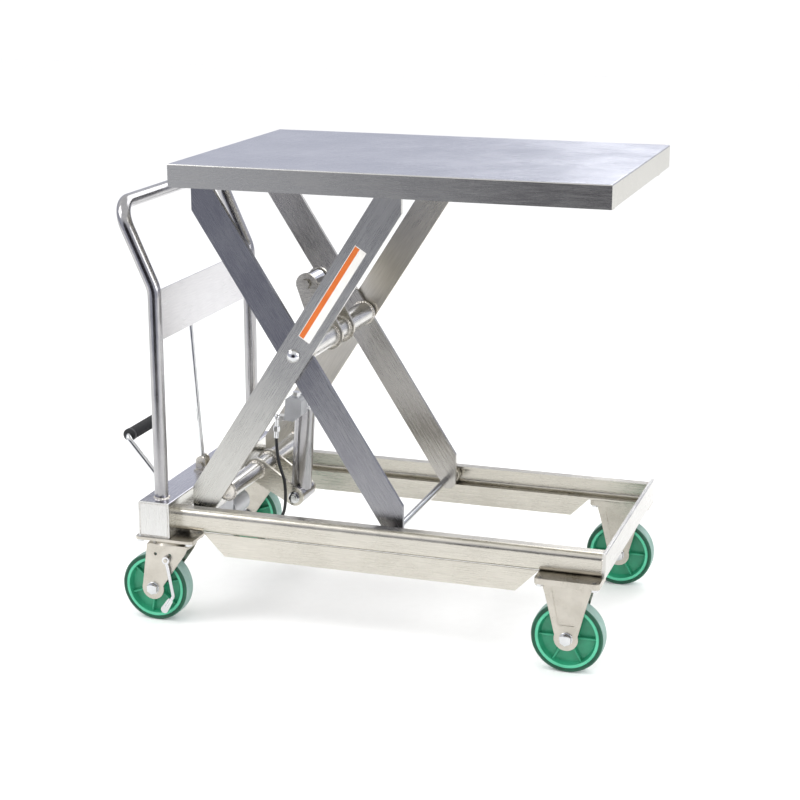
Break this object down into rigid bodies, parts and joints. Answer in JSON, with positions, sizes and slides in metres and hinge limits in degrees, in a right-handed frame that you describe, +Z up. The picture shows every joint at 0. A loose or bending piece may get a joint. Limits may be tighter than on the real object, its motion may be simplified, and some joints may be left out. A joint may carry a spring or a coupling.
{
  "type": "scissor lift table",
  "caption": "Stainless hand cart whose flat table is raised by a hydraulic scissor linkage, with a push handle, foot pedal, rubber-grip pump lever and green swivel and rigid casters.",
  "frame": {"origin": "on the floor, at the middle of the bounding box of the raised table", "axes": "+X from the handle towards the fixed casters, +Y across the table away from the label side, +Z up"},
  "size_m": [0.961, 0.508, 0.8384],
  "materials": {
    "brushed_steel": "brushed",
    "deck_steel": "brushed",
    "bright_steel": "polished",
    "fork_steel": "satin",
    "hydraulic_steel": "satin",
    "wheel_core": "matte",
    "wheel_tread": "matte",
    "black_rubber": "matte"
  },
  "bodies": {
    "chassis": {"handle_beam": "brushed_steel", "beam_caps": "brushed_steel", "rail_near": "brushed_steel", "rail_far": "brushed_steel", "rail_skirts": "brushed_steel", "end_plate": "brushed_steel", "cross_channel": "brushed_steel", "handle_tube": "brushed_steel", "handle_panel": "brushed_steel", "release_mounts": "brushed_steel", "pump_body": "hydraulic_steel", "pedal_bracket": "brushed_steel", "swivel_housings": "fork_steel", "fixed_pads": "fork_steel", "fixed_fork_near": "fork_steel", "fixed_fork_far": "fork_steel", "fixed_axles": "bright_steel", "caster_bolts": "bright_steel", "hose_lower": "black_rubber"},
    "outer_arms": {"outer_arm_near": "brushed_steel", "outer_arm_far": "brushed_steel", "arm_bolts": "bright_steel", "lower_cross_tube": "brushed_steel", "base_brackets": "brushed_steel", "base_pin": "bright_steel"},
    "inner_arms": {"inner_arm_near": "brushed_steel", "inner_arm_far": "brushed_steel", "torque_tube": "brushed_steel", "top_brackets": "brushed_steel", "roller_axle": "bright_steel"},
    "table": {"deck_pan": "deck_steel", "deck_tracks": "brushed_steel", "deck_stiffeners": "brushed_steel"},
    "base_rollers": {"base_rollers": "bright_steel"},
    "deck_rollers": {"deck_rollers": "bright_steel"},
    "barrel": {"cylinder_barrel": "hydraulic_steel", "cylinder_gland": "hydraulic_steel", "valve_block": "hydraulic_steel", "block_fittings": "bright_steel", "hose_upper": "black_rubber"},
    "rod": {"piston_rod": "bright_steel"},
    "pedal": {"pedal_lever": "bright_steel", "pedal_grip": "black_rubber"},
    "plunger": {"pump_plunger": "bright_steel"},
    "release_lever": {"release_lever": "bright_steel"},
    "release_rod": {"release_rod": "bright_steel"},
    "swivel_near": {"swivel_fork_near": "fork_steel", "swivel_axle_near": "bright_steel"},
    "swivel_wheel_near": {"swivel_core_near": "wheel_core", "swivel_tread_near": "wheel_tread"},
    "fixed_wheel_near": {"fixed_core_near": "wheel_core", "fixed_tread_near": "wheel_tread"},
    "brake_near": {"brake_lever_near": "bright_steel"},
    "swivel_far": {"swivel_fork_far": "fork_steel", "swivel_axle_far": "bright_steel"},
    "swivel_wheel_far": {"swivel_core_far": "wheel_core", "swivel_tread_far": "wheel_tread"},
    "fixed_wheel_far": {"fixed_core_far": "wheel_core", "fixed_tread_far": "wheel_tread"},
    "brake_far": {"brake_lever_far": "bright_steel"}
  },
  "joints": [
    {"name": "lift", "type": "hinge", "parent": "chassis", "child": "outer_arms", "pos_m": [-0.273, 0, 0.1904], "axis": [0, 1, 0], "range_deg": [0, 48], "deforming": ["hose_lower"]},
    {"name": "scissor", "type": "hinge", "parent": "outer_arms", "child": "inner_arms", "pos_m": [-0.09402, 0, 0.50091], "axis": [0, 1, 0], "range_deg": [-96, 0]},
    {"name": "table_level", "type": "hinge", "parent": "inner_arms", "child": "table", "pos_m": [-0.273, 0, 0.81142], "axis": [0, 1, 0], "range_deg": [0, 48]},
    {"name": "base_roller_spin", "type": "hinge", "parent": "inner_arms", "child": "base_rollers", "pos_m": [0.08497, 0, 0.1904], "axis": [0, 1, 0], "continuous": true},
    {"name": "deck_roller_spin", "type": "hinge", "parent": "outer_arms", "child": "deck_rollers", "pos_m": [0.08497, 0, 0.81142], "axis": [0, 1, 0], "continuous": true},
    {"name": "cylinder_swing", "type": "hinge", "parent": "outer_arms", "child": "barrel", "pos_m": [-0.152, 0, 0.192], "axis": [0, 1, 0], "range_deg": [-15.5, 0], "deforming": ["hose_upper"]},
    {"name": "rod_stroke", "type": "slide", "parent": "barrel", "child": "rod", "axis": [0.071, 0, 0.9975], "range_m": [-0.1264, 0]},
    {"name": "pedal", "type": "hinge", "parent": "chassis", "child": "pedal", "pos_m": [-0.3885, 0, 0.2], "axis": [0, 1, 0], "range_deg": [-18, 0]},
    {"name": "pump_stroke", "type": "slide", "parent": "chassis", "child": "plunger", "axis": [1, 0, 0], "range_m": [0, 0.0185]},
    {"name": "release_grip", "type": "hinge", "parent": "chassis", "child": "release_lever", "pos_m": [-0.3495, 0, 0.578], "axis": [0, 1, 0], "range_deg": [0, 22]},
    {"name": "release_pull", "type": "slide", "parent": "chassis", "child": "release_rod", "axis": [-0.0633, 0, 0.998], "range_m": [0, 0.0031]},
    {"name": "swivel_near", "type": "hinge", "parent": "chassis", "child": "swivel_near", "pos_m": [-0.321, -0.218, 0.1627], "axis": [0, 0, 1], "continuous": true},
    {"name": "swivel_roll_near", "type": "hinge", "parent": "swivel_near", "child": "swivel_wheel_near", "pos_m": [-0.348, -0.218, 0.0635], "axis": [0, 1, 0], "continuous": true},
    {"name": "fixed_roll_near", "type": "hinge", "parent": "chassis", "child": "fixed_wheel_near", "pos_m": [0.417, -0.218, 0.0635], "axis": [0, 1, 0], "continuous": true},
    {"name": "brake_near", "type": "hinge", "parent": "swivel_near", "child": "brake_near", "pos_m": [-0.318, -0.2495, 0.122], "axis": [0, 1, 0], "range_deg": [0, 20]},
    {"name": "swivel_far", "type": "hinge", "parent": "chassis", "child": "swivel_far", "pos_m": [-0.321, 0.218, 0.1627], "axis": [0, 0, 1], "continuous": true},
    {"name": "swivel_roll_far", "type": "hinge", "parent": "swivel_far", "child": "swivel_wheel_far", "pos_m": [-0.348, 0.218, 0.0635], "axis": [0, 1, 0], "continuous": true},
    {"name": "fixed_roll_far", "type": "hinge", "parent": "chassis", "child": "fixed_wheel_far", "pos_m": [0.417, 0.218, 0.0635], "axis": [0, 1, 0], "continuous": true},
    {"name": "brake_far", "type": "hinge", "parent": "swivel_far", "child": "brake_far", "pos_m": [-0.318, 0.2495, 0.122], "axis": [0, 1, 0], "range_deg": [0, 20]}
  ],
  "couplings": [
    {"joint": "scissor", "follows": "lift", "ratio": -2},
    {"joint": "table_level", "follows": "lift", "ratio": 1},
    {"joint": "cylinder_swing", "follows": "lift", "ratio": -0.3081},
    {"joint": "rod_stroke", "follows": "lift", "m_per_rad": -0.1503},
    {"joint": "pump_stroke", "follows": "pedal", "m_per_rad": -0.058},
    {"joint": "release_pull", "follows": "release_grip", "m_per_rad": 0.007247}
  ]
}
